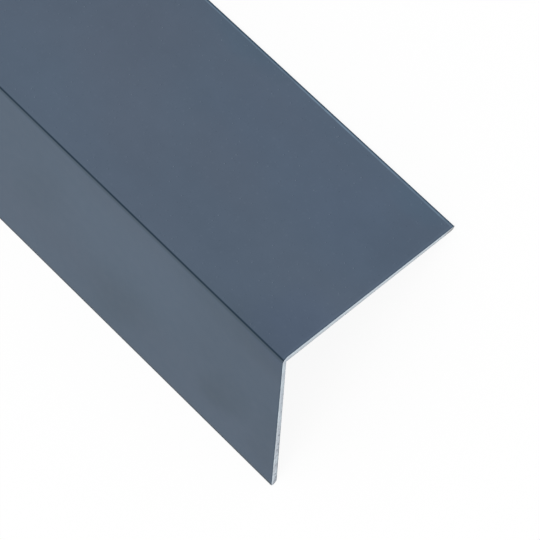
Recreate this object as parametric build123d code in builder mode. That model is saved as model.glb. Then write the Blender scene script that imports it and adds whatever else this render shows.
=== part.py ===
"""Equal angle section, folded from coated aluminium sheet and lying on its two free edges.

Millimetres, +Z up. The stock runs along X with its fold on top, and the origin is on the
floor, midway between the free edges and halfway along. Leg A slopes down towards +Y and
leg B towards -Y. The near end is the one at +X.
"""

import os
from math import cos, radians, sin, sqrt

from build123d import *

# The stock: a length as it is sold, and the sheet that it is folded from
stock_length = 1000.0
sheet_thickness = 1.5

# The section: a right-angled fold between two legs of one width, measured outside
leg_width = 50.0
fold_inner_radius = 0.2

# The free edges: well rounded on the inside of the angle, just broken on the outside
edge_inner_radius = 1.0
edge_outer_radius = 0.25
edge_flat = 0.1

# The near end is sheared out of square, in degrees, so leg A ends short at its free edge
near_end_skew = 1.9
shear_allowance = 5.0

# Each leg slopes down at half of the right angle
slope = radians(45)

fold_outer_radius = fold_inner_radius + sheet_thickness
edge_outer_round = min(edge_outer_radius, sheet_thickness / 2)
edge_inner_round = min(edge_inner_radius, sheet_thickness - edge_outer_round - edge_flat)

# Height at which the two outer faces would meet, with both free edges on the floor: the
# rounding of the inner edge lifts the sheet by less than a sharp corner would
sharp_fold_height = (leg_width + sheet_thickness) * sin(slope) - (sqrt(2) - 1) * edge_inner_round

# The section's own plane: x runs down the outer face of leg A and y along its normal, so
# leg B runs down the -y axis
section_plane = Plane(
    origin=(-stock_length / 2, 0, sharp_fold_height),
    x_dir=(0, cos(slope), -sin(slope)),
    z_dir=(1, 0, 0),
)

# The sheared face passes through the outer corner of the fold at the full length and
# falls back towards -X down leg A
skew = radians(near_end_skew)
shear_plane = Plane(
    origin=(stock_length / 2, 0, sharp_fold_height),
    z_dir=(cos(skew), sin(skew) * cos(slope), -sin(skew) * sin(slope)),
)

# The six corners of the section, in order round its outline, each with its radius
section_corners = [
    ((0, 0), fold_outer_radius),
    ((leg_width, 0), edge_outer_round),
    ((leg_width, -sheet_thickness), edge_inner_round),
    ((sheet_thickness, -sheet_thickness), fold_inner_radius),
    ((sheet_thickness, -leg_width), edge_inner_round),
    ((0, -leg_width), edge_outer_round),
]

with BuildPart() as angle_section:
    with BuildSketch(section_plane):
        with BuildLine():
            FilletPolyline(
                *[corner for corner, radius in section_corners],
                radius=[radius for corner, radius in section_corners],
                close=True,
            )
        make_face()
    extrude(amount=stock_length + shear_allowance)
    split(bisect_by=shear_plane, keep=Keep.BOTTOM)

angle_section.part.label = "angle_section"

os.makedirs("parts", exist_ok=True)
export_step(angle_section.part, "parts/angle_section.step")

box = angle_section.part.bounding_box()
print("angle_section volume", round(angle_section.part.volume, 1), "mm3")
print("low corner", box.min, "high corner", box.max)
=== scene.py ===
"""The looks of a folded aluminium angle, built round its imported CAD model.

The angle is one sheet with a satin coating on every rolled face and bare metal at its two
sheared ends. It lies on its free edges with the fold on top. All lengths are in metres, in
the frame of the CAD model: X runs along the stock, leg A slopes down towards +Y and leg B
towards -Y, and the near end, at +X, is sheared out of square.
"""

import logging
import math
from dataclasses import dataclass, field
from enum import Enum
from typing import Mapping, NamedTuple, Sequence

import bpy
import numpy as np
from mathutils import Matrix, Vector, noise


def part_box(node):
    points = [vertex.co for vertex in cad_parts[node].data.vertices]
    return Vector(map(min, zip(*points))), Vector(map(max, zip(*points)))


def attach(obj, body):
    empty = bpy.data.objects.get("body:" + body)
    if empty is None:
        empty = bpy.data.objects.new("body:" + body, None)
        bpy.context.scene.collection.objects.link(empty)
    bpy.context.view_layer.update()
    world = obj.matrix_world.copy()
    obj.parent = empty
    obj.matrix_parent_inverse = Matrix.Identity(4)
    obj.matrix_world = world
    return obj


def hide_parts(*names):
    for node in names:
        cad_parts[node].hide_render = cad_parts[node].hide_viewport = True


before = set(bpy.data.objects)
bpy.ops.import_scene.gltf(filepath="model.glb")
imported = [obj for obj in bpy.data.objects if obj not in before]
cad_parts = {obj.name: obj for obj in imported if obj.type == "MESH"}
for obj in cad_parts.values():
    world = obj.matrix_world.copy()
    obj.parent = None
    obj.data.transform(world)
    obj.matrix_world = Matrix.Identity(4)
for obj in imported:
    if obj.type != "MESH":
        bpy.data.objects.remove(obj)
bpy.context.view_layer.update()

LOG = logging.getLogger("angle")

MM = 0.001
PICTURE_SIDE = 540
SENSOR_WIDTH = 36.0
NOISE_MIDDLE = 0.5
FOLD_BLEND = 1.0 * MM

SCREEN_WHITE = 255
SCREEN_TOE = 0.04045
SCREEN_TOE_SLOPE = 12.92
SCREEN_OFFSET = 0.055
SCREEN_POWER = 2.4

Colour = tuple[float, float, float]
Faces = list[tuple[int, ...]]
Places = list[tuple[float, float]]

WHITE: Colour = (1.0, 1.0, 1.0)


def linear(level: float) -> float:
    """Undoes the screen's curve for one channel.

    Args:
        level: The channel as a screen shows it, from 0 to 255.

    Returns:
        Its linear value, from 0 to 1.
    """
    share = level / SCREEN_WHITE
    if share <= SCREEN_TOE:
        return share / SCREEN_TOE_SLOPE
    return ((share + SCREEN_OFFSET) / (1 + SCREEN_OFFSET)) ** SCREEN_POWER


def from_screen(red: float, green: float, blue: float) -> Colour:
    """Turns a colour as a screen shows it, from 0 to 255, into the linear one that a shader takes."""
    return linear(red), linear(green), linear(blue)


class Leg(Enum):
    """The two legs of the angle."""

    A = "a"
    B = "b"


class Face(Enum):
    """The two rolled faces of the sheet."""

    OUTER = "outer"
    INNER = "inner"


class SheetMap(Enum):
    """The mesh's two maps, one for the coated skin and one for the bare cut."""

    SKIN = "sheet"
    CUT = "cut"


class Signal:
    """One output of a shader node. Arithmetic on it adds Math nodes to its graph."""

    def __init__(self, graph: "Graph", socket: bpy.types.NodeSocket) -> None:
        """Wraps a socket of the graph's tree."""
        self.graph = graph
        self.socket = socket

    def __add__(self, other: "Value") -> "Signal":
        """The sum."""
        return self.graph.maths("ADD", self, other)

    def __radd__(self, other: "Value") -> "Signal":
        """The sum, with the signal on the right."""
        return self.graph.maths("ADD", other, self)

    def __sub__(self, other: "Value") -> "Signal":
        """The difference."""
        return self.graph.maths("SUBTRACT", self, other)

    def __rsub__(self, other: "Value") -> "Signal":
        """The difference, with the signal on the right."""
        return self.graph.maths("SUBTRACT", other, self)

    def __mul__(self, other: "Value") -> "Signal":
        """The product."""
        return self.graph.maths("MULTIPLY", self, other)

    def __rmul__(self, other: "Value") -> "Signal":
        """The product, with the signal on the right."""
        return self.graph.maths("MULTIPLY", other, self)

    def __truediv__(self, other: "Value") -> "Signal":
        """The quotient."""
        return self.graph.maths("DIVIDE", self, other)

    def __rtruediv__(self, other: "Value") -> "Signal":
        """The quotient, with the signal on the right."""
        return self.graph.maths("DIVIDE", other, self)

    def __abs__(self) -> "Signal":
        """The value without its sign."""
        return self.graph.maths("ABSOLUTE", self)

    def to_the(self, power: float) -> "Signal":
        """The value raised to a power."""
        return self.graph.maths("POWER", self, power)

    def at_least(self, other: "Value") -> "Signal":
        """The larger of the two."""
        return self.graph.maths("MAXIMUM", self, other)

    def at_most(self, other: "Value") -> "Signal":
        """The smaller of the two."""
        return self.graph.maths("MINIMUM", self, other)

    def lifted(self, floor: float) -> "Signal":
        """The range from 0 to 1, squeezed into the range from a floor to 1."""
        return floor + (1 - floor) * self

    def rise(self, start: float, end: float, first: float = 0.0, last: float = 1.0) -> "Signal":
        """A smooth step.

        Args:
            start: Where it starts.
            end: Where it ends, which may be less than the start.
            first: Its value up to the start.
            last: Its value from the end on.

        Returns:
            The step.
        """
        sockets = {"Value": self, "From Min": start, "From Max": end, "To Min": first, "To Max": last}
        if start > end:
            sockets |= {"From Min": end, "From Max": start, "To Min": last, "To Max": first}
        return self.graph.add("ShaderNodeMapRange", {"interpolation_type": "SMOOTHSTEP"}, sockets)["Result"]

    def bump(self, centre: float, core: float, reach: float, height: float = 1.0) -> "Signal":
        """A soft-edged band.

        Args:
            centre: The middle of the band.
            core: Half of the width over which the band is full.
            reach: Half of the width beyond which the band is 0.
            height: Its value where it is full.

        Returns:
            The band.
        """
        return abs(self - centre).rise(reach, core, 0.0, height)


Value = Signal | float


class Step(NamedTuple):
    """A smooth step, by where it starts and ends and by its values before and after."""

    start: float
    end: float
    first: float = 0.0
    last: float = 1.0


class Band(NamedTuple):
    """A soft-edged band, by its middle, half of its full and of its whole width, and its height."""

    centre: float
    core: float
    reach: float
    height: float = 1.0


class ByLeg(NamedTuple):
    """A value on leg A and on leg B."""

    a: float
    b: float

    def of(self, leg: Leg) -> float:
        """The value on one leg."""
        return self.a if leg is Leg.A else self.b

    def at(self, on_a: Signal) -> Signal:
        """The value at each place, by a signal that is 1 on leg A and 0 on leg B."""
        return self.b + (self.a - self.b) * on_a


class Cloud(NamedTuple):
    """Soft noise, by its repeats for each metre each way, its finer layers and its own depth.

    On the skin along is down the stock and across is round the section. On the cut along is
    round the section and across is through the sheet. Clouds of unlike depth differ. A cloud
    with a step is put through it.
    """

    along: float
    across: float
    detail: float
    roughness: float
    depth: float
    step: Step | None = None


class Grains(NamedTuple):
    """Scattered round grains of uneven strength.

    They lie about a pitch apart, and each fades out at the radius. The greater the rarity, the
    fewer are strong. Moved grains lie apart from others of the same pitch.
    """

    pitch: float
    radius: float
    rarity: float
    moved_along: float = 0.0
    moved_around: float = 0.0


class Placed:
    """A node that has been placed in a graph, with its outputs by name."""

    def __init__(self, graph: "Graph", node: bpy.types.Node) -> None:
        """Wraps a node of the graph's tree."""
        self.graph = graph
        self.node = node

    def __getitem__(self, name: str | int) -> Signal:
        """The output of that name or number."""
        return Signal(self.graph, Graph.find(self.node.outputs, name))


class Graph:
    """A tree of shader nodes, written as expressions."""

    def __init__(self, tree: bpy.types.NodeTree) -> None:
        """Empties the tree and takes it over."""
        self.tree = tree
        tree.nodes.clear()

    @staticmethod
    def find(sockets: Sequence[bpy.types.NodeSocket], key: str | int) -> bpy.types.NodeSocket:
        """Finds a socket by its number, or by its name among those that the settings enable."""
        named = (socket for socket in sockets if socket.enabled and socket.name == key)
        return sockets[key] if isinstance(key, int) else next(named)

    def add(
        self,
        kind: str,
        settings: Mapping[str, object] | None = None,
        inputs: Mapping[str | int, object] | None = None,
    ) -> Placed:
        """Adds a node.

        Args:
            kind: The node's type.
            settings: Its settings, which are set before its sockets.
            inputs: The value or the signal of each socket, by the socket's name or number.

        Returns:
            The node, whose outputs are read by name.
        """
        node = self.tree.nodes.new(kind)
        for name, setting in (settings or {}).items():
            setattr(node, name, setting)
        for key, value in (inputs or {}).items():
            socket = self.find(node.inputs, key)
            if isinstance(value, Signal):
                self.tree.links.new(value.socket, socket)
            elif isinstance(value, tuple) and socket.type == "RGBA":
                socket.default_value = (*value, 1.0)
            else:
                socket.default_value = value
        return Placed(self, node)

    def maths(self, operation: str, *values: Value) -> Signal:
        """Adds a Math node on one or two values."""
        return self.add("ShaderNodeMath", {"operation": operation}, dict(enumerate(values)))["Value"]

    def vector_maths(self, operation: str, inputs: Mapping[str | int, object]) -> Signal:
        """Adds a Vector Math node on a point or a colour."""
        return self.add("ShaderNodeVectorMath", {"operation": operation}, inputs)["Vector"]

    def scaled(self, colour: Signal, factor: Value) -> Signal:
        """Makes a colour lighter or darker by a factor."""
        return self.vector_maths("SCALE", {0: colour, "Scale": factor})

    def blend(self, share: Value, first: Signal | Colour, second: Signal | Colour) -> Signal:
        """Mixes two colours.

        Args:
            share: How much of the second colour shows, from 0 to 1.
            first: The colour at 0.
            second: The colour at 1.

        Returns:
            The mixed colour.
        """
        sockets = {"Factor": share, "A": first, "B": second}
        return self.add("ShaderNodeMix", {"data_type": "RGBA"}, sockets)["Result"]

    def relief(self, strength: float, depth: float, height: Signal) -> Signal:
        """Turns a height from 0 to 1 into a bumped normal, for a relief of that depth."""
        sockets = {"Strength": strength, "Distance": depth, "Height": height}
        return self.add("ShaderNodeBump", {}, sockets)["Normal"]

    def surface(self, sockets: Mapping[str | int, object]) -> None:
        """Ends a material's graph with its shader, given the values of the shader's sockets."""
        shader = self.add("ShaderNodeBsdfPrincipled", {}, sockets)["BSDF"]
        self.add("ShaderNodeOutputMaterial", {}, {"Surface": shader})


def new_material(name: str) -> tuple[bpy.types.Material, Graph]:
    """Makes a material.

    Args:
        name: Its name.

    Returns:
        The material, and its graph, which is still empty.
    """
    made = bpy.data.materials.new(name)
    made.use_nodes = True
    return made, Graph(made.node_tree)


class Spot:
    """The place on the sheet at which a shader is worked out, and the patterns read there.

    Around is metres round the section from the crest of the fold, negative on leg A. Inward is
    metres from the near end on the skin, and metres from the outer face on the cut.
    """

    def __init__(self, graph: Graph, sheet_map: SheetMap) -> None:
        """Reads the place from one of the mesh's maps.

        Args:
            graph: The material's graph.
            sheet_map: The map.
        """
        self.graph = graph
        self.point = graph.add("ShaderNodeUVMap", {"uv_map": sheet_map.value})["UV"]
        parts = graph.add("ShaderNodeSeparateXYZ", {}, {"Vector": self.point})
        names = ("X", "Y") if sheet_map is SheetMap.SKIN else ("Y", "X")
        self.inward, self.around = (parts[name] for name in names)
        self.on_a = self.around.rise(FOLD_BLEND, -FOLD_BLEND)

    def cloud(self, look: Cloud) -> Signal:
        """Adds soft noise.

        Args:
            look: The noise's size, its layers and its step.

        Returns:
            The noise, put through its step. Without one it is about NOISE_MIDDLE on the whole.
        """
        repeats = (look.along, look.across, 1.0)
        sockets = {
            "Vector": self.graph.vector_maths("MULTIPLY", {0: self.point, 1: repeats}),
            "W": look.depth,
            "Scale": 1.0,
            "Detail": look.detail,
            "Roughness": look.roughness,
        }
        plain = self.graph.add("ShaderNodeTexNoise", {"noise_dimensions": "4D"}, sockets)[0]
        return plain.rise(*look.step) if look.step else plain

    def waver(self, look: Cloud) -> Signal:
        """The same noise, about 0 on the whole."""
        return self.cloud(look) - NOISE_MIDDLE

    def grains(self, look: Grains) -> Signal:
        """Adds scattered grains.

        Args:
            look: The grains' size and how thick they lie.

        Returns:
            The grains, 1 at the middle of the strongest and 0 between them.
        """
        offset = (look.moved_along, look.moved_around, 0.0)
        moved = self.graph.vector_maths("ADD", {0: self.point, 1: offset})
        sockets = {"Vector": moved, "Scale": 1 / look.pitch}
        cells = self.graph.add("ShaderNodeTexVoronoi", {"voronoi_dimensions": "2D"}, sockets)
        chance = self.graph.add("ShaderNodeSeparateColor", {}, {"Color": cells["Color"]})["Red"]
        return cells["Distance"].rise(look.radius / look.pitch, 0.0) * chance.to_the(look.rarity)


@dataclass(frozen=True)
class Section:
    """The folded section, in a plane across the stock.

    In that plane x runs down the outer face of leg A and y along its outward normal, so leg B
    runs down the -y axis and the section is its own mirror image about the line y = -x.
    """

    leg_width: float = 50.0 * MM
    sheet: float = 1.5 * MM
    fold_inner: float = 0.2 * MM
    edge_inner: float = 1.0 * MM
    edge_outer: float = 0.25 * MM
    flat_steps: int = 94
    fold_steps: int = 12
    edge_steps: int = 2
    outer_round_steps: int = 6
    inner_round_steps: int = 14

    @property
    def fold_outer(self) -> float:
        """The radius of the fold on its outside."""
        return self.fold_inner + self.sheet

    @property
    def crest_to_flat(self) -> float:
        """The arc from the crest of the fold to the flat of either leg, on the outside."""
        return self.fold_outer * math.pi / 4

    @property
    def crest_to_edge(self) -> float:
        """The way from the crest of the fold to where the free edge starts to round."""
        return self.crest_to_flat + self.leg_width - self.edge_outer - self.fold_outer

    @staticmethod
    def arc(centre: tuple[float, float], radius: float, start: float, end: float, steps: int) -> np.ndarray:
        """Points round an arc.

        Args:
            centre: The arc's centre.
            radius: Its radius.
            start: The angle of the first point, in degrees.
            end: The angle of the last point.
            steps: The number of equal steps between them.

        Returns:
            The points, one for each row, with both ends.
        """
        angles = np.radians(np.linspace(start, end, steps + 1))
        return np.array(centre) + radius * np.stack([np.cos(angles), np.sin(angles)], axis=1)

    def half_chain(self, face: Face) -> np.ndarray:
        """The outline of leg A from the middle of its free edge to the crest of the fold.

        Both faces have as many points, so that rungs can join them across the sheet.

        Args:
            face: The outer or the inner face.

        Returns:
            The points, one for each row.
        """
        tip, thick, fold = self.leg_width, self.sheet, self.fold_outer
        edge_middle = (self.edge_outer + thick - self.edge_inner) / 2
        if face is Face.OUTER:
            surface, bend, corner = 0.0, fold, self.edge_outer
            rounding = self.arc((tip - corner, -corner), corner, 0, 90, self.outer_round_steps)
            run_in = self.inner_round_steps - self.outer_round_steps
        else:
            surface, bend, corner = -thick, self.fold_inner, self.edge_inner
            rounding = self.arc((tip - corner, corner - thick), corner, 0, -90, self.inner_round_steps)
            run_in = 0
        edge = np.linspace((tip, -edge_middle), rounding[0], self.edge_steps + 1)
        lead = np.linspace(rounding[-1], (tip - self.edge_inner, surface), run_in + 1)
        flat = np.linspace((tip - self.edge_inner, surface), (fold, surface), self.flat_steps + 1)
        crest = self.arc((fold, -fold), bend, 90, 135, self.fold_steps)
        return np.concatenate([edge, rounding[1:], lead[1:], flat[1:], crest[1:]])

    def chain(self, face: Face) -> np.ndarray:
        """The outline from the free edge of leg A, over the crest in its middle, to that of leg B."""
        half = self.half_chain(face)
        return np.concatenate([half, -half[-2::-1, ::-1]])

    @staticmethod
    def travel(chain: np.ndarray) -> np.ndarray:
        """The way along a chain to each of its points, negative on leg A and 0 at the crest."""
        way = np.concatenate([[0.0], np.cumsum(np.linalg.norm(np.diff(chain, axis=0), axis=1))])
        return way - way[len(way) // 2]


@dataclass(frozen=True)
class Shear:
    """How the blade leaves a sheared end, from the side where it enters to where it breaks out.

    The tear's waves are counted for each metre round the section and through one sheet, and the
    burr's waves down one leg. A seed sets one noise apart from another.
    """

    skew: float = math.radians(1.9)
    roll_depth: float = 0.06 * MM
    roll_length: float = 0.30 * MM
    burnished_share: float = 0.42
    torn_depth: float = 0.07 * MM
    torn_roughness: float = 0.015 * MM
    torn_waves_around: float = 1800.0
    torn_waves_through: float = 3.0
    torn_seed: float = 9.0
    burr: float = 0.05 * MM
    burr_waves: float = 55.0
    burr_seed: ByLeg = ByLeg(5.0, 6.0)
    drag_length: float = 0.8 * MM
    drag_at_fold: ByLeg = ByLeg(0.12 * MM, -0.44 * MM)
    drag_at_edge: ByLeg = ByLeg(-0.45 * MM, 0.04 * MM)
    depth_steps: int = 10

    def drag(self, reach: float, leg: Leg) -> float:
        """Works out how far the blade pulls the inner face at the very end.

        Args:
            reach: How far down the leg, from 0 at the fold to 1 at the free edge.
            leg: The leg.

        Returns:
            The distance, away from the outer face where it is more than 0.
        """
        start, end = self.drag_at_fold.of(leg), self.drag_at_edge.of(leg)
        ragged = noise.noise(Vector((reach * self.burr_waves, 0.0, self.burr_seed.of(leg))))
        return start + (end - start) * reach + ragged * self.burr

    def setback(self, share: float, way: float, outward: float) -> float:
        """Works out how far back the metal lies, which is 0 where the blade cut.

        Args:
            share: How far through the sheet, from 0 to 1.
            way: The place round the section.
            outward: 1 at the near end and -1 at the far end.

        Returns:
            The distance.
        """
        torn = max(0.0, share - self.burnished_share) / (1 - self.burnished_share)
        waves = (way * self.torn_waves_around, share * self.torn_waves_through, outward * self.torn_seed)
        grain = noise.noise(Vector(waves))
        return self.torn_depth * math.sin(math.pi * torn) + self.torn_roughness * grain * torn


@dataclass(frozen=True)
class Patch:
    """A faint soft patch in the coating, listed one by one and corrected against the photo.

    Its place is given in millimetres: along from the near end, and round the section from the
    crest of the fold, negative on leg A.
    """

    along: float
    around: float
    half_along: float
    half_around: float
    strength: float
    slant: float = 0.0

    def mask(self, along: Signal, around: Signal) -> Signal:
        """The patch's share at each place.

        Args:
            along: Metres from the near end.
            around: Metres round the section.

        Returns:
            The patch's strength in its middle, fading softly to 0 at its border.
        """
        across = (around - self.around * MM) / (self.half_around * MM)
        lengthwise = (along - self.along * MM) / (self.half_along * MM) - across * self.slant
        return (across * across + lengthwise * lengthwise).rise(1.0, 0.0, 0.0, self.strength)


@dataclass(frozen=True)
class CoatColourAndShade:
    """The coating's colour, hardly uneven, with soft patches near the end, a few of them painted shade."""

    leg_a: Colour = from_screen(83.2, 96.6, 113.1)
    leg_b: Colour = from_screen(83.6, 98.0, 113.9)
    cool: Colour = from_screen(77, 97, 115)
    violet: Colour = from_screen(78.5, 92.5, 115.5)
    warm: Colour = from_screen(88, 97, 112)
    olive: Colour = from_screen(62, 76, 84)
    tint: Cloud = Cloud(15, 40, 1.0, 0.5, 10.0, Step(0.3, 0.7, 0.0, 0.25))
    broad: Cloud = Cloud(22, 34, 2.0, 0.5, 1.0)
    broad_strength: float = 0.10
    small: Cloud = Cloud(160, 190, 2.0, 0.55, 2.0)
    small_strength: ByLeg = ByLeg(0.12, 0.06)
    sway: Cloud = Cloud(90, 90, 1.0, 0.5, 14.0)
    sway_along: float = 6 * MM
    sway_around: float = -5 * MM
    cool_patches: tuple[Patch, ...] = (
        Patch(4, -38, 22, 22, 0.10, 0.3),
        Patch(30, -49, 40, 7, 0.16),
        Patch(64, -49, 14, 6, 0.36),
        Patch(9, -48, 9, 6, 0.35),
    )
    violet_patches: tuple[Patch, ...] = (
        Patch(2, -6, 14, 15, 0.32),
        Patch(6, -38, 26, 22, 0.14, 0.3),
        Patch(34, -38, 34, 18, 0.12),
    )
    warm_patches: tuple[Patch, ...] = (
        Patch(44, -24, 16, 10, 0.20, -0.3),
        Patch(62, -14, 12, 10, 0.20),
        Patch(79, -28, 18, 22, 0.28, -0.4),
    )
    olive_patches: tuple[Patch, ...] = (
        Patch(16, 33, 10, 12, 0.16, 0.4),
        Patch(17.5, 37, 6, 6, 0.10, 0.4),
        Patch(50, 34, 15, 19, 0.11, 0.5),
        Patch(51, 39, 8, 13, 0.07, 0.5),
        Patch(78, 24, 9, 14, 0.08, 0.8),
        Patch(8, 3, 30, 8, 0.12),
        Patch(1, 33, 8, 15, 0.12, 0.3),
    )
    # Lighter and darker patches; the darker ones at the very near end are painted shade.
    tone_and_shade_patches: tuple[Patch, ...] = (
        Patch(90, -16, 34, 16, 0.025),
        Patch(62, -23, 14, 8, 0.02),
        Patch(76, -3, 26, 7, 0.025),
        Patch(48, 14, 26, 18, 0.03),
        Patch(2, -2, 20, 12, -0.055),
        Patch(3, -38, 12, 13, -0.06),
        Patch(6, 24, 30, 30, -0.04),
        Patch(79, -30, 18, 20, -0.02),
        Patch(48, 40, 40, 18, -0.015),
        Patch(4, 47, 9, 10, -0.05),
    )

    def at(self, spot: Spot) -> Signal:
        """Works the colour out.

        Args:
            spot: The place on the skin.

        Returns:
            The colour there.
        """
        graph = spot.graph
        colour = graph.blend(spot.on_a, self.leg_b, self.leg_a)
        colour = graph.blend(spot.cloud(self.tint), colour, self.warm)
        sway = spot.waver(self.sway)
        swayed = (spot.inward + sway * self.sway_along, spot.around + sway * self.sway_around)
        groups = (
            (self.cool_patches, self.cool),
            (self.violet_patches, self.violet),
            (self.warm_patches, self.warm),
            (self.olive_patches, self.olive),
        )
        for patches, target in groups:
            for patch in patches:
                colour = graph.blend(patch.mask(*swayed), colour, target)
        level = 1.0 + spot.waver(self.broad) * self.broad_strength
        level = level + spot.waver(self.small) * self.small_strength.at(spot.on_a)
        for patch in self.tone_and_shade_patches:
            level = level + patch.mask(*swayed)
        return graph.scaled(colour, level)


@dataclass(frozen=True)
class Texture:
    """The coating's tiny raised grains, with a painted highlight on one side and painted shade on the
    other.

    They show mostly on leg A, with a few tiny dark specks between them and a faint haze round them.
    """

    # The light colour is the grains' painted highlight and the dark one their painted shade.
    light: Colour = from_screen(170, 184, 198)
    dark: Colour = from_screen(40, 50, 64)
    lit: Grains = Grains(2.2 * MM, 0.16 * MM, 4.5)
    lit_strength: ByLeg = ByLeg(0.37, 0.04)
    crowd: Cloud = Cloud(110, 110, 1.0, 0.5, 6.0, Step(0.25, 0.65, 0.35, 1.0))
    shaded: Grains = Grains(2.2 * MM, 0.19 * MM, 2.6, 0.16 * MM, 0.18 * MM)
    shaded_strength: ByLeg = ByLeg(0.48, 0.04)
    pits: Grains = Grains(2.6 * MM, 0.17 * MM, 2.0, 370 * MM, 210 * MM)
    dark_speck_share: float = 0.9
    haze: Grains = Grains(2.0 * MM, 0.40 * MM, 1.6, 110 * MM, 530 * MM)
    haze_strength: ByLeg = ByLeg(0.034, 0.002)

    def over(self, spot: Spot, colour: Signal) -> tuple[Signal, Signal]:
        """Strews the grains over a colour.

        Args:
            spot: The place on the skin.
            colour: The colour under them.

        Returns:
            The colour with them, and the height to which they stand proud.
        """
        graph, on_a = spot.graph, spot.on_a
        grains = spot.grains(self.lit) * spot.cloud(self.crowd) * self.lit_strength.at(on_a)
        shades = spot.grains(self.shaded).at_least(spot.grains(self.pits) * self.dark_speck_share)
        # The grains' shaded sides and the dark specks between them are painted shade.
        colour = graph.blend(shades * self.shaded_strength.at(on_a), colour, self.dark)
        colour = graph.blend(grains, colour, self.light)
        haze = spot.grains(self.haze) * self.haze_strength.at(on_a)
        return graph.blend(haze, colour, self.light), grains


@dataclass(frozen=True)
class EdgeHighlightAndShade:
    """The lines drawn along the free edges and the sheared ends.

    Leg A's free edge has a painted highlight, a light line brighter in a few runs, with painted
    shade in a dark rim outside it that widens away from the near end; leg B's has a duller rim.
    """

    light: Colour = from_screen(111, 131, 150)
    dark: Colour = from_screen(50, 72, 90)
    dull: Colour = from_screen(68, 74, 76)
    outside: Step = Step(-1.2 * MM, -0.6 * MM)
    line: Band = Band(0.38 * MM, 0.05 * MM, 0.32 * MM)
    slow: Cloud = Cloud(170, 10, 3.0, 0.6, 7.0, Step(0.34, 0.66, 0.38, 0.58))
    quick: Cloud = Cloud(640, 10, 2.0, 0.6, 5.0, Step(0.3, 0.7, 0.72, 1.22))
    highlight_runs: tuple[Patch, ...] = (
        Patch(38, -49, 14, 60, 0.46),
        Patch(22, -49, 6, 60, 0.26),
        Patch(5, -49, 3, 60, 0.26),
    )
    rim_a: Step = Step(0.26 * MM, 0.06 * MM, 0.0, 0.85)
    rim_a_narrowing: Step = Step(10 * MM, 70 * MM, 0.04 * MM, -0.06 * MM)
    rim_b: Step = Step(0.85 * MM, 0.15 * MM, 0.0, 0.75)
    end_line: Band = Band(0.45 * MM, 0.10 * MM, 0.40 * MM, 0.08)
    end_rim: Step = Step(0.26 * MM, 0.04 * MM, 0.0, 0.5)

    def on_free_edges(self, spot: Spot, to_edge: Signal, colour: Signal) -> Signal:
        """Draws the lines along both free edges, leg A's painted highlight and painted shade among them.

        Args:
            spot: The place on the skin.
            to_edge: Metres to where the free edge starts to round, negative beyond it.
            colour: The colour under the lines.

        Returns:
            The colour with them.
        """
        graph, on_a = spot.graph, spot.on_a
        level = spot.cloud(self.slow)
        for run in self.highlight_runs:
            level = level + run.mask(spot.inward, spot.around)
        line = to_edge.bump(*self.line) * level * spot.cloud(self.quick)
        outside = to_edge.rise(*self.outside)
        rim_a = (to_edge + spot.inward.rise(*self.rim_a_narrowing)).rise(*self.rim_a) * outside
        rim_b = to_edge.rise(*self.rim_b) * outside
        # Leg A's light line is a painted highlight and its dark rim painted shade.
        colour = graph.blend(line * on_a, colour, self.light)
        colour = graph.blend(rim_a * on_a, colour, self.dark)
        return graph.blend(rim_b * (1 - on_a), colour, self.dull)

    def on_sheared_ends(self, spot: Spot, to_end: Signal, colour: Signal) -> Signal:
        """Draws a slightly lighter line just before each sheared end, and a dark one at its very edge.

        Args:
            spot: The place on the skin.
            to_end: Metres to the nearer end.
            colour: The colour under the lines.

        Returns:
            The colour with them.
        """
        colour = spot.graph.blend(to_end.bump(*self.end_line) * spot.on_a, colour, self.light)
        return spot.graph.blend(to_end.rise(*self.end_rim), colour, self.dark)


@dataclass(frozen=True)
class FoldReflection:
    """A painted dark reflection along the crest of the fold, a little uneven, with a faint tail."""

    dark: Colour = from_screen(34, 50, 64)
    reflection_tail: Colour = from_screen(74, 84, 84)
    tail: Band = Band(0.50 * MM, 0.10 * MM, 0.62 * MM, 0.35)
    line: Band = Band(0.20 * MM, 0.06 * MM, 0.35 * MM)
    strength: Cloud = Cloud(55, 0, 2.0, 0.5, 9.0, Step(0.2, 0.6, 0.86, 1.0))
    sway: Cloud = Cloud(22, 0, 2.0, 0.5, 8.0)
    sway_around: float = 0.12 * MM

    def over(self, spot: Spot, colour: Signal) -> Signal:
        """Paints the dark reflection of the fold over a colour.

        Args:
            spot: The place on the skin.
            colour: The colour under it.

        Returns:
            The colour with it.
        """
        # The dark line and its faint tail are a painted dark reflection of the fold's crest.
        colour = spot.graph.blend(spot.around.bump(*self.tail), colour, self.reflection_tail)
        line = (spot.around - spot.waver(self.sway) * self.sway_around).bump(*self.line)
        return spot.graph.blend(line * spot.cloud(self.strength), colour, self.dark)


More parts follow.
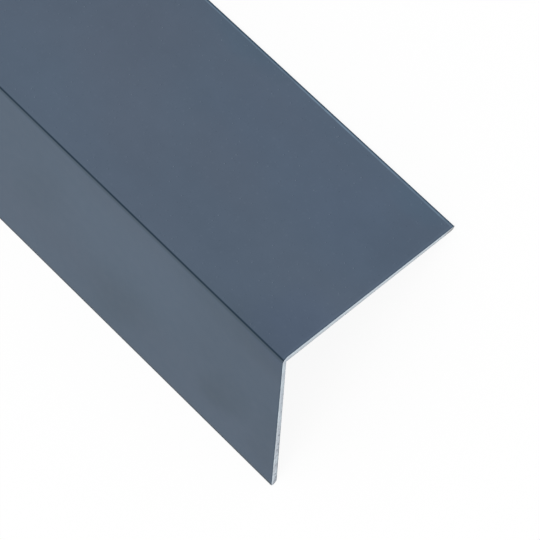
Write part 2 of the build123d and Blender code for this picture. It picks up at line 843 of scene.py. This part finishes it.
@dataclass(frozen=True)
class CoatedFinish:
    """A satin coating with a fine texture, blue-grey, over every rolled face of the sheet."""

    section: Section
    length: float
    name: str = "satin_coating"
    # The coating's colour carries painted highlights and shade: along the fold, the free edges and the
    # grains, and at the near end.
    coat_colour_and_shade: CoatColourAndShade = CoatColourAndShade()
    texture: Texture = Texture()
    edge_highlight_and_shade: EdgeHighlightAndShade = EdgeHighlightAndShade()
    fold_reflection: FoldReflection = FoldReflection()
    fine: Cloud = Cloud(2600, 2600, 2.0, 0.6, 3.0)
    fine_share: float = 0.7
    peel: Cloud = Cloud(420, 420, 1.0, 0.5, 4.0)
    peel_share: float = 0.6
    height: ByLeg = ByLeg(1.0, 0.15)
    relief_strength: float = 0.25
    relief_depth: float = 0.02 * MM
    roughness: float = 0.46
    roughness_spread: float = 0.12
    shine: float = 0.045

    def material(self) -> bpy.types.Material:
        """Makes the material.

        Returns:
            A material that reads the map of the skin.
        """
        made, graph = new_material(self.name)
        spot = Spot(graph, SheetMap.SKIN)
        colour, grains = self.texture.over(spot, self.coat_colour_and_shade.at(spot))
        to_edge = self.section.crest_to_edge - abs(spot.around)
        colour = self.edge_highlight_and_shade.on_free_edges(spot, to_edge, colour)
        to_end = spot.inward.at_most(self.length - spot.inward)
        colour = self.edge_highlight_and_shade.on_sheared_ends(spot, to_end, colour)
        peel = spot.cloud(self.peel)
        height = spot.cloud(self.fine) * self.fine_share + peel * self.peel_share
        height = height * self.height.at(spot.on_a) + grains
        graph.surface({
            "Base Color": self.fold_reflection.over(spot, colour),
            "Roughness": self.roughness + (peel - NOISE_MIDDLE) * self.roughness_spread,
            "Specular IOR Level": self.shine,
            "Normal": graph.relief(self.relief_strength, self.relief_depth, height),
        })
        return made


@dataclass(frozen=True)
class BareFinish:
    """Bare sheared aluminium: a smooth band where the blade cut and a greyer one where it tore."""

    section: Section
    shear: Shear
    name: str = "sheared_aluminium"
    burnished: Colour = from_screen(205, 218, 227)
    torn_a: Colour = from_screen(197, 205, 211)
    torn_b: Colour = from_screen(197, 207, 214)
    dull: Colour = from_screen(182, 187, 196)
    tip_a: Colour = from_screen(156, 154, 154)
    tip_b: Colour = from_screen(170, 175, 184)
    pitted: Colour = from_screen(119, 124, 135)
    coating: Colour = from_screen(60, 78, 92)
    tear_waver: Cloud = Cloud(300, 0, 2.0, 0.6, 11.0)
    tear_wander: float = 0.5 * MM
    tear_blur: float = 0.12 * MM
    strokes: Cloud = Cloud(2600, 420, 3.0, 0.65, 12.0)
    stroke_strength: float = 0.6
    stain: Cloud = Cloud(240, 500, 2.0, 0.6, 15.0, Step(0.42, 0.62))
    stain_strength: ByLeg = ByLeg(0.30, 0.50)
    outer_stain: Step = Step(22 * MM, 31 * MM, 0.0, 0.35)
    middle_stain: Band = Band(31 * MM, 3 * MM, 9 * MM, 0.5)
    tip: Step = Step(3.5 * MM, 0.5 * MM)
    tip_strength: float = 0.3
    tip_strength_of_tear: float = 0.6
    pit: Cloud = Cloud(820, 1200, 5.0, 0.68, 13.0, Step(0.50, 0.58))
    pit_strength: Step = Step(7 * MM, 27 * MM, 0.12, 0.68)
    pit_share_of_cut: float = 0.45
    skin_depth: ByLeg = ByLeg(0.06 * MM, 0.10 * MM)
    skin_thinning: Step = Step(33 * MM, 40 * MM, 0.0, 0.07 * MM)
    skin_waver: Cloud = Cloud(1100, 0, 2.0, 0.6, 16.0)
    skin_wander: float = 0.22 * MM
    skin_border: Step = Step(-0.015 * MM, 0.015 * MM)
    back_line: Step = Step(0.08 * MM, 0.04 * MM)
    back_widening: Band = Band(39 * MM, 4 * MM, 12 * MM, 0.07 * MM)
    relief_strength: float = 0.35
    relief_depth: float = 0.02 * MM
    roughness: float = 0.34
    tear_roughness: float = 0.16
    stroke_roughness: float = 0.1

    def material(self) -> bpy.types.Material:
        """Makes the material.

        Returns:
            A material that reads the map of the cut.
        """
        made, graph = new_material(self.name)
        spot = Spot(graph, SheetMap.CUT)
        torn = self.torn(spot)
        pits = spot.cloud(self.pit) * spot.around.rise(*self.pit_strength)
        pits = pits * torn.lifted(self.pit_share_of_cut)
        strokes = spot.cloud(self.strokes)
        metal = graph.blend(pits, self.metal(spot, torn), self.pitted)
        metal = graph.blend((strokes - NOISE_MIDDLE).at_least(0.0) * self.stroke_strength, metal, self.dull)
        coated = self.coated(spot)
        graph.surface({
            "Base Color": graph.blend(coated, metal, self.coating),
            "Metallic": 1 - coated,
            "Roughness": self.roughness + self.tear_roughness * torn + self.stroke_roughness * strokes,
            "Normal": graph.relief(self.relief_strength, self.relief_depth, strokes - pits),
        })
        return made

    def torn(self, spot: Spot) -> Signal:
        """Tells where the blade cut and where the metal tore.

        Args:
            spot: The place on the cut.

        Returns:
            0 where it cut and 1 where it tore, with a wavy border.
        """
        border = self.shear.burnished_share * self.section.sheet
        wavy = spot.inward + spot.waver(self.tear_waver) * self.tear_wander
        return wavy.rise(border - self.tear_blur, border + self.tear_blur)

    def metal(self, spot: Spot, torn: Signal) -> Signal:
        """Works out the metal's colour, with its stains and its dulled tips.

        Args:
            spot: The place on the cut.
            torn: 1 where the metal tore.

        Returns:
            The colour there.
        """
        graph, around, on_a = spot.graph, spot.around, spot.on_a
        colour = graph.blend(torn, self.burnished, graph.blend(on_a, self.torn_b, self.torn_a))
        strength = self.stain_strength.at(on_a) + around.rise(*self.outer_stain)
        stain = (spot.cloud(self.stain) * strength).at_least(around.bump(*self.middle_stain))
        colour = graph.blend(stain, colour, self.dull)
        to_tip = self.section.crest_to_edge - abs(around)
        tip = to_tip.rise(*self.tip) * (self.tip_strength + self.tip_strength_of_tear * torn)
        return graph.blend(tip, colour, graph.blend(on_a, self.tip_b, self.tip_a))

    def coated(self, spot: Spot) -> Signal:
        """Tells where the coating shows at the borders of the cut.

        Args:
            spot: The place on the cut.

        Returns:
            1 in a ragged line at the outer face and in a fine one at the inner face.
        """
        ragged = spot.waver(self.skin_waver) * self.skin_wander
        depth = self.skin_depth.at(spot.on_a) + ragged - spot.around.rise(*self.skin_thinning)
        skin = (depth - spot.inward).rise(*self.skin_border)
        to_back = self.section.sheet - spot.inward - spot.around.bump(*self.back_widening)
        return skin.at_least(to_back.rise(*self.back_line))


@dataclass
class AngleSection:
    """The one piece of stock: a coated sheet, folded along its middle and sheared at both ends.

    Its section is drawn at stations, which lie close together at the ends. Each leg bows a
    little, as thin sheet does: the bow grows from the fold and eases down the leg, and its
    waves have a pitch along the stock and are counted down one leg.
    """

    section: Section = field(default_factory=Section)
    shear: Shear = field(default_factory=Shear)
    node: str = "angle_section"
    body: str = "root"
    slot: str = "coated_sheet"
    bow: float = 0.05 * MM
    bow_pitch: float = 90.0 * MM
    bow_waves: float = 1.5
    bow_growth: float = 4.0
    bow_easing: float = 0.3
    bow_seed: ByLeg = ByLeg(3.0, 8.0)
    end_stations_mm: tuple[float, ...] = (
        0.0, 0.03, 0.07, 0.12, 0.19, 0.30, 0.45, 0.65, 0.80, 1.2, 2.0, 3.5, 6.0, 10.0, 16.0,
    )
    station_pitch: float = 12.0 * MM

    def __post_init__(self) -> None:
        """Takes the length and the place of the fold from the CAD node."""
        low, high = (Vector(corner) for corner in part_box(self.node))
        self.near_x = high.x
        self.length = high.x - low.x
        self.sharp_fold_z = high.z + (math.sqrt(2) - 1) * self.section.fold_outer

    def build(self) -> bpy.types.Object:
        """Builds the sheet, dresses it and puts it in the place of the CAD node.

        Returns:
            The sheet's object.
        """
        outer, inner = self.section.chain(Face.OUTER), self.section.chain(Face.INNER)
        points, rings = self.rings(outer, inner)
        skin, skin_map = self.skin(rings, outer, inner)
        caps, cap_points, cap_map = self.caps(points, rings, outer)
        mesh = bpy.data.meshes.new(self.node + "_sheet")
        mesh.from_pydata(np.concatenate([points, cap_points]).tolist(), [], skin + caps)
        self.map_faces(mesh, len(skin), skin_map, cap_map)
        mesh.materials.append(CoatedFinish(self.section, self.length).material())
        mesh.materials.append(BareFinish(self.section, self.shear).material())
        mesh.update()
        mesh.validate()
        sheet = bpy.data.objects.new(self.node + "_sheet", mesh)
        bpy.context.scene.collection.objects.link(sheet)
        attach(sheet, self.body)
        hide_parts(self.node)
        return sheet

    def stations(self) -> np.ndarray:
        """Chooses where the section is drawn.

        Returns:
            The distances from the near end, in order.
        """
        close = np.array(self.end_stations_mm) * MM
        span = self.length - 2 * close[-1]
        middle = np.linspace(close[-1], self.length - close[-1], round(span / self.station_pitch) + 1)
        return np.concatenate([close[:-1], middle, self.length - close[-2::-1]])

    def rings(self, outer: np.ndarray, inner: np.ndarray) -> tuple[np.ndarray, np.ndarray]:
        """Draws the section at every station.

        Args:
            outer: The chain of the outer face.
            inner: The chain of the inner face, with as many points.

        Returns:
            All the points, and the number of each by station and by place round the section.
        """
        loop = np.concatenate([outer, inner[-2:0:-1]])
        is_inner = np.arange(len(loop)) >= len(outer)
        stations = self.stations()
        drawn = [self.ring(loop, is_inner, way) for way in stations]
        numbers = np.arange(len(stations) * len(loop)).reshape(len(stations), len(loop))
        return np.concatenate(drawn), numbers

    def ring(self, loop: np.ndarray, is_inner: np.ndarray, way: float) -> np.ndarray:
        """Draws the section at one station.

        Args:
            loop: The section's outline.
            is_inner: Which of its points are on the inner face.
            way: The distance from the near end.

        Returns:
            The points in the frame of the CAD model.
        """
        to_end = min(way, self.length - way)
        drop = self.shear.roll_depth * max(0.0, 1 - to_end / self.shear.roll_length) ** 2
        pull = max(0.0, 1 - to_end / self.shear.drag_length) ** 2
        placed = []
        for (x, y), inside in zip(loop, is_inner):
            leg = Leg.A if x > -y else Leg.B
            reach = max(x, -y) / self.section.leg_width
            sink = self.shear.drag(reach, leg) * pull if inside else drop
            lift = self.bow_at(way, reach, leg) - sink
            shift = (0.0, lift) if leg is Leg.A else (-lift, 0.0)
            placed.append(self.to_frame(x + shift[0], y + shift[1], way))
        return np.array(placed)

    def bow_at(self, way: float, reach: float, leg: Leg) -> float:
        """How far a leg stands off its flat, by the way from the near end and the share down the leg."""
        wave = noise.noise(Vector((way / self.bow_pitch, reach * self.bow_waves, self.bow_seed.of(leg))))
        return self.bow * wave * min(1.0, self.bow_growth * reach * (1 - self.bow_easing * reach))

    def to_frame(self, x: float, y: float, way: float) -> tuple[float, float, float]:
        """Places a point of the section.

        Args:
            x: Its distance down leg A from the sharp corner of the fold.
            y: Its distance out from the outer face of leg A.
            way: The distance from the near end, which is sheared across leg A at a skew.

        Returns:
            The point in the frame of the CAD model.
        """
        nearness = 1 - way / self.length
        half = math.sqrt(0.5)
        return (
            self.near_x - way - math.tan(self.shear.skew) * x * nearness,
            (x + y) * half,
            self.sharp_fold_z + (y - x) * half,
        )

    def skin(self, rings: np.ndarray, outer: np.ndarray, inner: np.ndarray) -> tuple[Faces, Places]:
        """Joins the rings with the coated faces.

        Args:
            rings: The number of each point by station and place.
            outer: The chain of the outer face.
            inner: The chain of the inner face.

        Returns:
            The faces, and the place on the skin of each of their corners in turn.
        """
        out, back = Section.travel(outer), Section.travel(inner)
        turn = out[-1] + back[-1]
        around = np.concatenate([out, turn - back[-2:0:-1], [turn - back[0]]])
        stations = self.stations()
        faces: Faces = []
        places: Places = []
        count = rings.shape[1]
        for i in range(len(rings) - 1):
            near, far = stations[i], stations[i + 1]
            for j in range(count):
                k = (j + 1) % count
                faces.append((rings[i, j], rings[i, k], rings[i + 1, k], rings[i + 1, j]))
                places += [
                    (near, around[j]), (near, around[j + 1]), (far, around[j + 1]), (far, around[j]),
                ]
        return faces, places

    def caps(
        self, points: np.ndarray, rings: np.ndarray, outer: np.ndarray
    ) -> tuple[Faces, np.ndarray, Places]:
        """Closes both ends with the sheared metal, rung by rung across the sheet.

        The first and the last rung of an end have only one point, on the free edge.

        Args:
            points: The points of the skin.
            rings: The number of each point by station and place.
            outer: The chain of the outer face.

        Returns:
            The faces, the points that they add, and the place on the cut of each corner in turn.
        """
        steps, thick = self.shear.depth_steps, self.section.sheet
        way = Section.travel(outer)
        last_rung = len(way) - 1
        faces: Faces = []
        places: Places = []
        added: list[np.ndarray] = []
        for ring, outward in ((rings[0], 1.0), (rings[-1], -1.0)):
            across = [ring[0], *ring[:last_rung:-1], ring[last_rung]]
            rungs = [[int(front)] * steps + [int(back)] for front, back in zip(ring, across)]
            for j in range(1, last_rung):
                first, last = points[ring[j]], points[across[j]]
                for step in range(1, steps):
                    share = step / steps
                    point = first + (last - first) * share
                    point[0] -= outward * self.shear.setback(share, way[j], outward)
                    rungs[j][step] = len(points) + len(added)
                    added.append(point)
            for j in range(last_rung):
                for step in range(steps):
                    corners = [(j, step), (j, step + 1), (j + 1, step + 1), (j + 1, step)]
                    if outward < 0:
                        corners.reverse()
                    kept: dict[int, tuple[float, float]] = {}
                    for rung, level in corners:
                        kept.setdefault(rungs[rung][level], (way[rung], level / steps * thick))
                    if len(kept) > 2:
                        faces.append(tuple(kept))
                        places += kept.values()
        return faces, np.array(added), places

    @staticmethod
    def map_faces(mesh: bpy.types.Mesh, skin_faces: int, skin_map: Places, cap_map: Places) -> None:
        """Gives the mesh its two maps, its materials and its sharp ends.

        Args:
            mesh: The sheet's mesh, whose first faces are the coated ones.
            skin_faces: How many faces are coated.
            skin_map: The place on the skin of each coated corner.
            cap_map: The place on the cut of each bare corner.
        """
        blank_cap = [(0.0, 0.0)] * len(cap_map)
        blank_skin = [(0.0, 0.0)] * len(skin_map)
        maps = ((SheetMap.SKIN, [*skin_map, *blank_cap]), (SheetMap.CUT, [*blank_skin, *cap_map]))
        for sheet_map, values in maps:
            layer = mesh.uv_layers.new(name=sheet_map.value)
            layer.uv.foreach_set("vector", np.array(values, dtype=np.float32).ravel())
        bare = np.arange(len(mesh.polygons)) >= skin_faces
        mesh.polygons.foreach_set("material_index", bare.astype(np.int32))
        mesh.polygons.foreach_set("use_smooth", np.ones(len(bare), dtype=bool))
        kinds: dict[tuple[int, int], set[bool]] = {}
        for face, is_bare in zip(mesh.polygons, bare):
            for key in face.edge_keys:
                kinds.setdefault(key, set()).add(bool(is_bare))
        sharp = [len(kinds[edge.key]) > 1 for edge in mesh.edges]
        mesh.attributes.new("sharp_edge", "BOOLEAN", "EDGE").data.foreach_set("value", sharp)


@dataclass(frozen=True)
class Lamp:
    """A large soft square lamp that faces the stock, by its place, its side and its power in watts."""

    name: str
    place: tuple[float, float, float]
    side: float
    power: float

    def hang(self) -> None:
        """Hangs the lamp."""
        lamp = bpy.data.lights.new(self.name, "AREA")
        lamp.shape = "SQUARE"
        lamp.size = self.side
        lamp.energy = self.power
        hung = bpy.data.objects.new(self.name, lamp)
        hung.location = self.place
        hung.rotation_euler = Vector(self.place).to_track_quat("Z", "Y").to_euler()
        bpy.context.scene.collection.objects.link(hung)


@dataclass
class Studio:
    """A pale floor under plain, soft, even light."""

    floor_half: float = 6.0
    floor_colour: Colour = (0.97, 0.97, 0.97)
    shadow_share: float = 0.08
    sky_level: float = 0.62
    lamps: tuple[Lamp, ...] = (
        Lamp("lamp_over_leg_a", (0.9, 1.5, 1.5), 1.6, 18.2),
        Lamp("lamp_over_leg_b", (0.6, -1.7, 1.4), 1.6, 16.6),
    )

    def build(self) -> None:
        """Lays the floor and lights it."""
        self.lay_floor()
        self.light_world()
        for lamp in self.lamps:
            lamp.hang()

    def lay_floor(self) -> None:
        """Makes the floor, which shows white and keeps a faint shadow."""
        half = self.floor_half
        mesh = bpy.data.meshes.new("floor")
        corners = [(-half, -half, 0.0), (half, -half, 0.0), (half, half, 0.0), (-half, half, 0.0)]
        mesh.from_pydata(corners, [], [(0, 1, 2, 3)])
        material, graph = new_material("pale_floor")
        matt = graph.add("ShaderNodeBsdfDiffuse", {}, {"Color": self.floor_colour})["BSDF"]
        white = graph.add("ShaderNodeEmission", {}, {"Color": WHITE, "Strength": 1.0})["Emission"]
        share = self.seen(graph) * (1 - self.shadow_share)
        mixed = graph.add("ShaderNodeMixShader", {}, {0: share, 1: matt, 2: white})["Shader"]
        graph.add("ShaderNodeOutputMaterial", {}, {"Surface": mixed})
        mesh.materials.append(material)
        floor = bpy.data.objects.new("floor", mesh)
        bpy.context.scene.collection.objects.link(floor)

    @staticmethod
    def seen(graph: Graph) -> Signal:
        """1 for what the camera sees, itself or in a reflection or through glass."""
        path = graph.add("ShaderNodeLightPath")
        return path["Is Camera Ray"].at_least(path["Is Glossy Ray"]).at_least(path["Is Transmission Ray"])

    def light_world(self) -> None:
        """Gives the world an even level, and white where it is seen."""
        world = bpy.data.worlds.new("soft_room")
        world.use_nodes = True
        bpy.context.scene.world = world
        graph = Graph(world.node_tree)
        level = self.seen(graph).lifted(self.sky_level)
        sky = graph.add("ShaderNodeBackground", {}, {"Color": WHITE, "Strength": level})
        graph.add("ShaderNodeOutputWorld", {}, {"Surface": sky["Background"]})


@dataclass
class Viewpoint:
    """The camera, given by the point in the middle of the picture and its bearing from there."""

    aim: tuple[float, float, float] = (0.481724, 0.009097, 0.026905)
    azimuth: float = math.radians(37.6621)
    elevation: float = math.radians(60.4433)
    roll: float = math.radians(87.9654)
    distance: float = 0.828820
    focal_pixels: float = 3993.15
    nearest: float = 0.05
    farthest: float = 50.0

    def build(self) -> bpy.types.Object:
        """Sets up the camera.

        Returns:
            The camera's object.
        """
        lens = bpy.data.cameras.new("camera")
        lens.sensor_width = SENSOR_WIDTH
        lens.lens = self.focal_pixels / PICTURE_SIDE * SENSOR_WIDTH
        lens.clip_start, lens.clip_end = self.nearest, self.farthest
        camera = bpy.data.objects.new("camera", lens)
        bearing = Vector((
            math.cos(self.elevation) * math.cos(self.azimuth),
            math.cos(self.elevation) * math.sin(self.azimuth),
            math.sin(self.elevation),
        ))
        upright = bearing.to_track_quat("Z", "Y").to_matrix().to_4x4()
        turned = upright @ Matrix.Rotation(-self.roll, 4, "Z")
        camera.matrix_world = Matrix.Translation(Vector(self.aim) + bearing * self.distance) @ turned
        bpy.context.scene.collection.objects.link(camera)
        bpy.context.scene.camera = camera
        return camera


def main() -> None:
    """Builds the angle, the studio and the camera."""
    logging.basicConfig(level=logging.INFO, format="%(name)s: %(message)s")
    bpy.context.scene.view_settings.view_transform = "Standard"
    angle = AngleSection()
    sheet = angle.build()
    LOG.info("%s: %d faces, %.3f m long", sheet.name, len(sheet.data.polygons), angle.length)
    Studio().build()
    LOG.info("floor and lamps are in place")
    camera = Viewpoint().build()
    LOG.info("camera at %s", [round(v, 3) for v in camera.matrix_world.translation])


if __name__ == "__main__":
    main()
